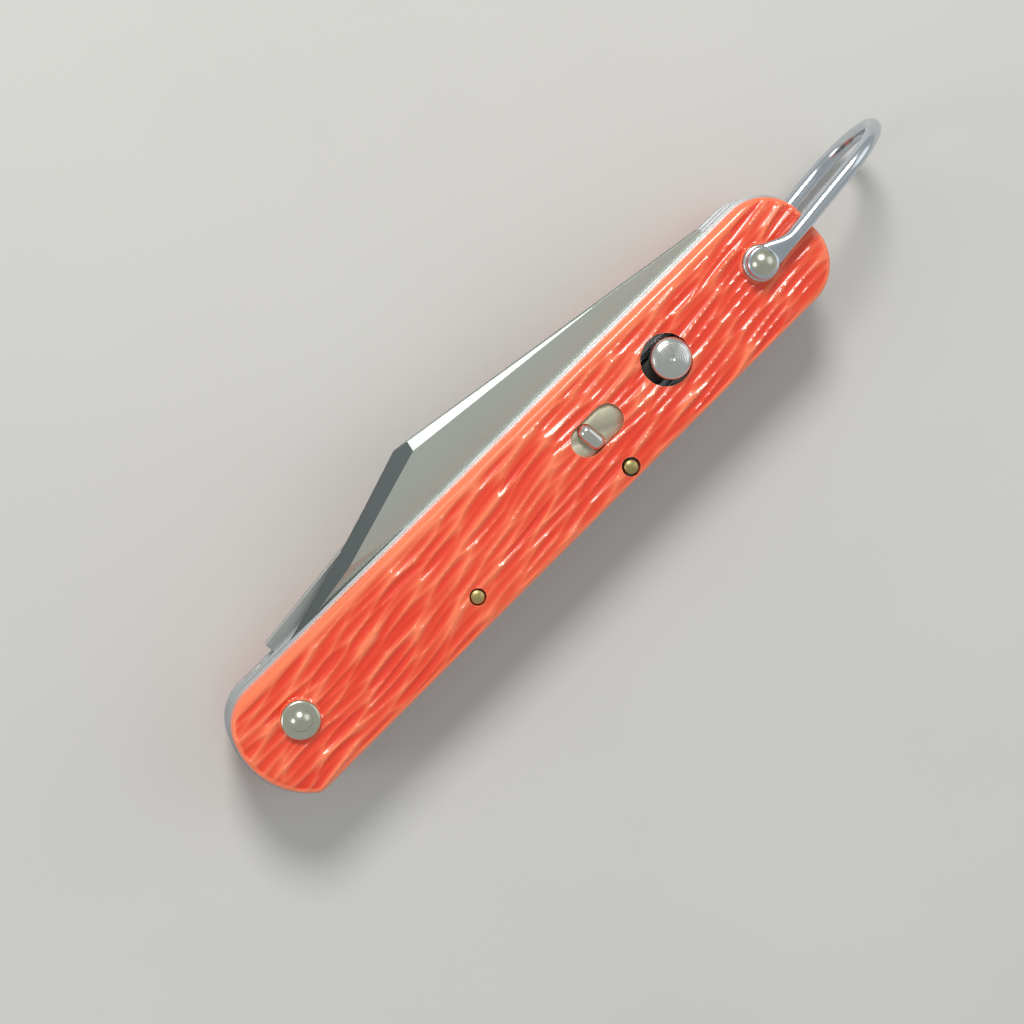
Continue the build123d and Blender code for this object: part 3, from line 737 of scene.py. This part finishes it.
# ---- blades, liners and springs keep their form with eased edges
easings = {
    "front_liner": ("frontLiner", linerSteel, "handle", "liner_steel", 0.10),
    "centre_liner": ("centreLiner", linerSteel, "handle", "liner_steel", 0.10),
    "rear_liner": ("rearLiner", linerSteel, "handle", "liner_steel", 0.10),
    "clip_blade": ("clipBlade", bladeSteel, "clip_blade_body", "blade_steel", 0.07),
    "hook_blade": ("hookBlade", hookSteel, "hook_blade_body", "blade_steel", 0.06),
    "drive_spring": ("driveSpring", springSteel, "handle", "spring_steel", 0.08),
    "hook_backspring": ("hookBackspring", springSteel, "handle", "spring_steel", 0.08),
    "hook_end_collar": ("hookEndCollar", collarSteel, "handle", "collar_steel", 0.06),
    "bail_end_collar": ("bailEndCollar", collarSteel, "handle", "collar_steel", 0.06),
    "button_stem": ("buttonStem", leverSteel, "button", "lever_steel", 0.05),
    "lock_lever": ("lockLever", leverSteel, "button", "lever_steel", 0.05),
    "fulcrum_pin": ("fulcrumPin", leverSteel, "handle", "lever_steel", 0.03),
    "fulcrum_bracket": ("fulcrumBracket", leverSteel, "handle", "lever_steel", 0.04),
    "lock_spring_studs": ("lockSpringStuds", leverSteel, "handle", "lever_steel", 0.04),
    "lock_spring": ("lockSpring", springSteel, "handle", "spring_steel", 0.04),
    "lock_pin": ("lockPin", leverSteel, "handle", "lever_steel", 0.05),
    "safety_slider": ("safetySlider", plateSteel, "safety", "safety_steel", 0.05),
    "safety_plate": ("safetyPlate", plateSteel, "safety", "safety_steel", 0.04),
    "safety_stem": ("safetyStem", leverSteel, "safety", "lever_steel", 0.04),
}
# degrees: a blade's ground faces meet at small angles and still show a crisp line
crispFrom = {"clip_blade": 9, "hook_blade": 9}
for node, (name, material, body, slotName, width) in easings.items():
    easedCopy(name, node, material, body, width * mm, crispFrom.get(node, 40))
print("steel parts eased")


# ---- rivets, washers and pins
def rivetProfile(node, neck, shaft, dome):
    low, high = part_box(node)
    radius, rise = dome[0] * mm, dome[1] * mm
    head = domed(radius, high.z, rise)
    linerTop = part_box("front_liner")[1].z
    head += [(neck * mm, high.z - rise), (neck * mm, linerTop), (shaft * mm, linerTop)]
    return head + overTurned(head)


nearHook = Vector((hookPivot.x, hookPivot.y, 0))
nearMain = Vector((mainPivot.x, mainPivot.y, 0))
for name, node, axis, kind in (("hookPivotRivet", "hook_pivot_rivet", nearHook, "hook"),
                               ("mainPivotRivet", "main_pivot_rivet", nearMain, "main")):
    profile = rivetProfile(node, rivets[kind + "Neck"], rivets[kind + "Shaft"], rivets[kind + "Dome"])
    turned(name, profile, axis, nickelSilver, "handle", [node])


def washerProfile(node, bore, flip):
    low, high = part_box(node)
    radius, thick = (high.x - low.x) / 2, high.z - low.z
    shape = [(bore, thick), (radius * 0.80, thick), (radius * 0.90, thick * 0.96),
             (radius * 0.965, thick * 0.82), (radius, thick * 0.55), (radius, thick * 0.10),
             (radius * 0.985, 0), (bore, 0), (bore, thick)]
    return [(r, high.z - h if flip else low.z + h) for r, h in shape]


for name, node, bore, axis, material, body in (
        ("frontHookWasher", "front_hook_washer", 1.1, nearHook, nickelSilver, "handle"),
        ("rearHookWasher", "rear_hook_washer", 1.1, nearHook, nickelSilver, "handle"),
        ("frontBailWasher", "front_bail_washer", 1.0, nearMain, washerSteel, "bail_washers"),
        ("rearBailWasher", "rear_bail_washer", 1.0, nearMain, washerSteel, "bail_washers")):
    profile = washerProfile(node, bore * mm, node.startswith("rear"))
    turned(name, profile, axis, material, body, [node])

for name, node in (("hookEndSpringPin", "hook_end_spring_pin"),
                   ("buttonEndSpringPin", "button_end_spring_pin")):
    low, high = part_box(node)
    axis, radius = (low + high) / 2, (high.x - low.x) / 2
    cap = domed(radius - rivets["pinRim"] * mm, high.z, rivets["pinDome"] * mm, 8)
    cap += [(radius, high.z - rivets["pinSide"] * mm)]
    profile = cap + overTurned(cap, axis.z)
    turned(name, profile, Vector((axis.x, axis.y, 0)), pinBrass, "handle", [node], 64)
print("rivets, washers and pins turned")


# ---- push button
buttonShape = {  # mm: radius, drop from the top
    "profile": [(0, 0.16), (0.10, 0.155), (0.20, 0.13), (0.27, 0.07), (0.34, 0.02), (0.44, 0.0),
                (0.58, 0.012), (0.75, 0.03), (1.1, 0.05), (1.5, 0.09), (1.85, 0.15), (2.15, 0.24),
                (2.40, 0.36), (2.60, 0.52), (2.73, 0.72), (2.79, 0.94), (2.80, 1.1), (2.80, 1.95),
                (2.74, 2.08), (2.66, 2.1), (0, 2.1)],
}
low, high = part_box("button_cap")
axis = (low + high) / 2
capSteel = turnedSteel("capSteel", (axis.x, axis.y, 0), (0.70, 0.70, 0.67), (0.48, 0.48, 0.46),
                       0.00030, 0.20)
turned("buttonCap", [(radius * mm, high.z - drop * mm) for radius, drop in buttonShape["profile"]],
       Vector((axis.x, axis.y, 0)), capSteel, "button", ["button_cap"], 128)


# ---- safety thumb piece
thumbShape = {"across": 4.0, "along": 2.4, "turn": 6.5, "rounding": 0.95, "crown": 0.22}


def thumbPiece():
    low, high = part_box("safety_thumb")
    middle = (low + high) / 2
    outer = pillLoop(thumbShape["across"], thumbShape["along"], 0.12)
    inner = middleLine(outer, thumbShape["along"] / 2)
    half = thumbShape["along"] / 2
    insets = [0, 0.02, 0.06, 0.12, 0.2, 0.3, 0.42, 0.55, 0.68, 0.80, 0.92, 1.04, half]
    verts, faces = [], []
    turn = Matrix.Rotation(math.radians(90 + thumbShape["turn"]), 3, "Z")
    for inset in insets:
        loop = outer + (inner - outer) * (inset / half)
        near = max(0.0, thumbShape["rounding"] - inset)
        drop = thumbShape["rounding"] - math.sqrt(thumbShape["rounding"] ** 2 - near ** 2)
        drop += thumbShape["crown"] * (1 - inset / half) ** 2
        for px, py in loop:
            spot = turn @ Vector((px * mm, py * mm, 0))
            verts.append((middle.x + spot.x, middle.y + spot.y, high.z - drop * mm))
    count = len(outer)
    base = len(verts)
    for px, py in outer:
        spot = turn @ Vector((px * mm, py * mm, 0))
        verts.append((middle.x + spot.x, middle.y + spot.y, low.z))
    for ring in range(len(insets) - 1):
        for i in range(count):
            after = (i + 1) % count
            faces.append((ring * count + i, ring * count + after,
                          (ring + 1) * count + after, (ring + 1) * count + i))
    faces += [(base + i, base + (i + 1) % count, (i + 1) % count, i) for i in range(count)]
    faces.append(tuple(range(base, base + count)))
    piece = addPiece("safetyThumb", verts, faces, thumbSteel, "safety", ["safety_thumb"])
    weld(piece, 0.000012)
    dress(piece)


thumbPiece()
print("button and safety made")


# ---- bail
bailShape = {
    "wire": 1.05, "eye": 2.2, "eyeThick": 1.2, "bore": 1.0, "reach": 26.298, "lean": 5.8, "offset": -0.9,
    "flareFrom": 1.4, "flareTo": 5.6,      # mm along the leg where the eye runs out into the wire
    "neckWide": 1.75, "neckThick": 0.98, "neckSide": -0.15, "neckSquare": 0.25,
    "fineStep": 0.35, "fineCount": 14, "plainStep": 1.0,
    "segments": 28, "bendSegments": 40,
}


def bailPath(legZ, bendX):
    # places along the wire as (x, z, angle round the bend, mm from the eye)
    fine, count, plain = bailShape["fineStep"], bailShape["fineCount"], bailShape["plainStep"]
    steps = [bailShape["flareFrom"] + fine * i for i in range(count)]
    reached = bailShape["flareFrom"] + fine * count
    steps += [reached + plain * i for i in range(int((bendX - reached) / plain) + 1)]
    steps = [value for value in steps if value < bendX - 0.2]
    path = [(value, legZ, 0.0, value) for value in steps]
    arc = bailShape["bendSegments"]
    for i in range(arc + 1):
        angle = math.pi * i / arc
        path.append((bendX + legZ * math.sin(angle), legZ * math.cos(angle), angle, bendX))
    return path + [(value, -legZ, math.pi, value) for value in reversed(steps)]


def bailPiece():
    low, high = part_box("bail")
    wire, side, segments = bailShape["wire"], bailShape["offset"], bailShape["segments"]
    legZ = (high.z - low.z) / mm / 2 - wire    # from the middle plane
    path = bailPath(legZ, bailShape["reach"] - wire - legZ)
    flareFrom, flareRun = bailShape["flareFrom"], bailShape["flareTo"] - bailShape["flareFrom"]
    verts, faces = [], []
    for x, z, angle, along in path:
        flare = 1 - min(1.0, max(0.0, (along - flareFrom) / flareRun))
        flare = flare * flare * (3 - 2 * flare)
        halfWide = wire + (bailShape["neckWide"] - wire) * flare ** 1.5
        halfThick = wire + (bailShape["eyeThick"] / 2 * bailShape["neckThick"] - wire) * flare ** 0.8
        sideHere = side + (bailShape["neckSide"] - side) * flare ** 1.3
        squareness = 1 - bailShape["neckSquare"] * flare
        for k in range(segments):
            turnAngle = 2 * math.pi * k / segments
            across = halfWide * math.copysign(abs(math.cos(turnAngle)) ** squareness, math.cos(turnAngle))
            up = halfThick * math.copysign(abs(math.sin(turnAngle)) ** squareness, math.sin(turnAngle))
            verts.append((x + up * math.sin(angle), sideHere + across, z + up * math.cos(angle)))
    rings = len(path)
    for ring in range(rings - 1):
        for k in range(segments):
            after = (k + 1) % segments
            faces.append((ring * segments + k, (ring + 1) * segments + k,
                          (ring + 1) * segments + after, ring * segments + after))
    faces.append(tuple(range(segments)))
    faces.append(tuple(reversed(range((rings - 1) * segments, rings * segments))))
    eye, bore, half = bailShape["eye"], bailShape["bore"], bailShape["eyeThick"] / 2
    shape = [(bore, half - 0.06), (bore + 0.08, half), (eye - 0.34, half), (eye - 0.12, half - 0.08),
             (eye - 0.02, half - 0.26), (eye, 0.0), (eye - 0.02, -half + 0.26), (eye - 0.12, -half + 0.08),
             (eye - 0.34, -half), (bore + 0.08, -half), (bore, -half + 0.06), (bore, half - 0.06)]
    for level in (legZ, -legZ):
        more, sides = lathe([(radius, height + level) for radius, height in shape], Vector((0, 0, 0)), 72)
        faces += [tuple(i + len(verts) for i in face) for face in sides]
        verts += more
    lean = Matrix.Rotation(math.radians(bailShape["lean"]), 3, "Z")
    centre = Vector((mainPivot.x, mainPivot.y, (low.z + high.z) / 2))
    placed = [centre + lean @ (Vector(vert) * mm) for vert in verts]
    addPiece("bailWire", placed, faces, bailSteel, "bail_body", ["bail"], 50)


bailPiece()
print("bail bent")


# ---- floor
floorSpan = 1.4
floorZ = cadBounds[0].z - 0.02 * mm
spread = [(-floorSpan, -floorSpan), (floorSpan, -floorSpan), (floorSpan, floorSpan), (-floorSpan, floorSpan)]
floorMesh = bpy.data.meshes.new("floor")
floorMesh.from_pydata([(x, y, floorZ) for x, y in spread], [], [(0, 1, 2, 3)])
floorMesh.materials.append(paleFloor("paleFloor"))
floor = bpy.data.objects.new("floor", floorMesh)
bpy.context.scene.collection.objects.link(floor)

print("pieces placed")
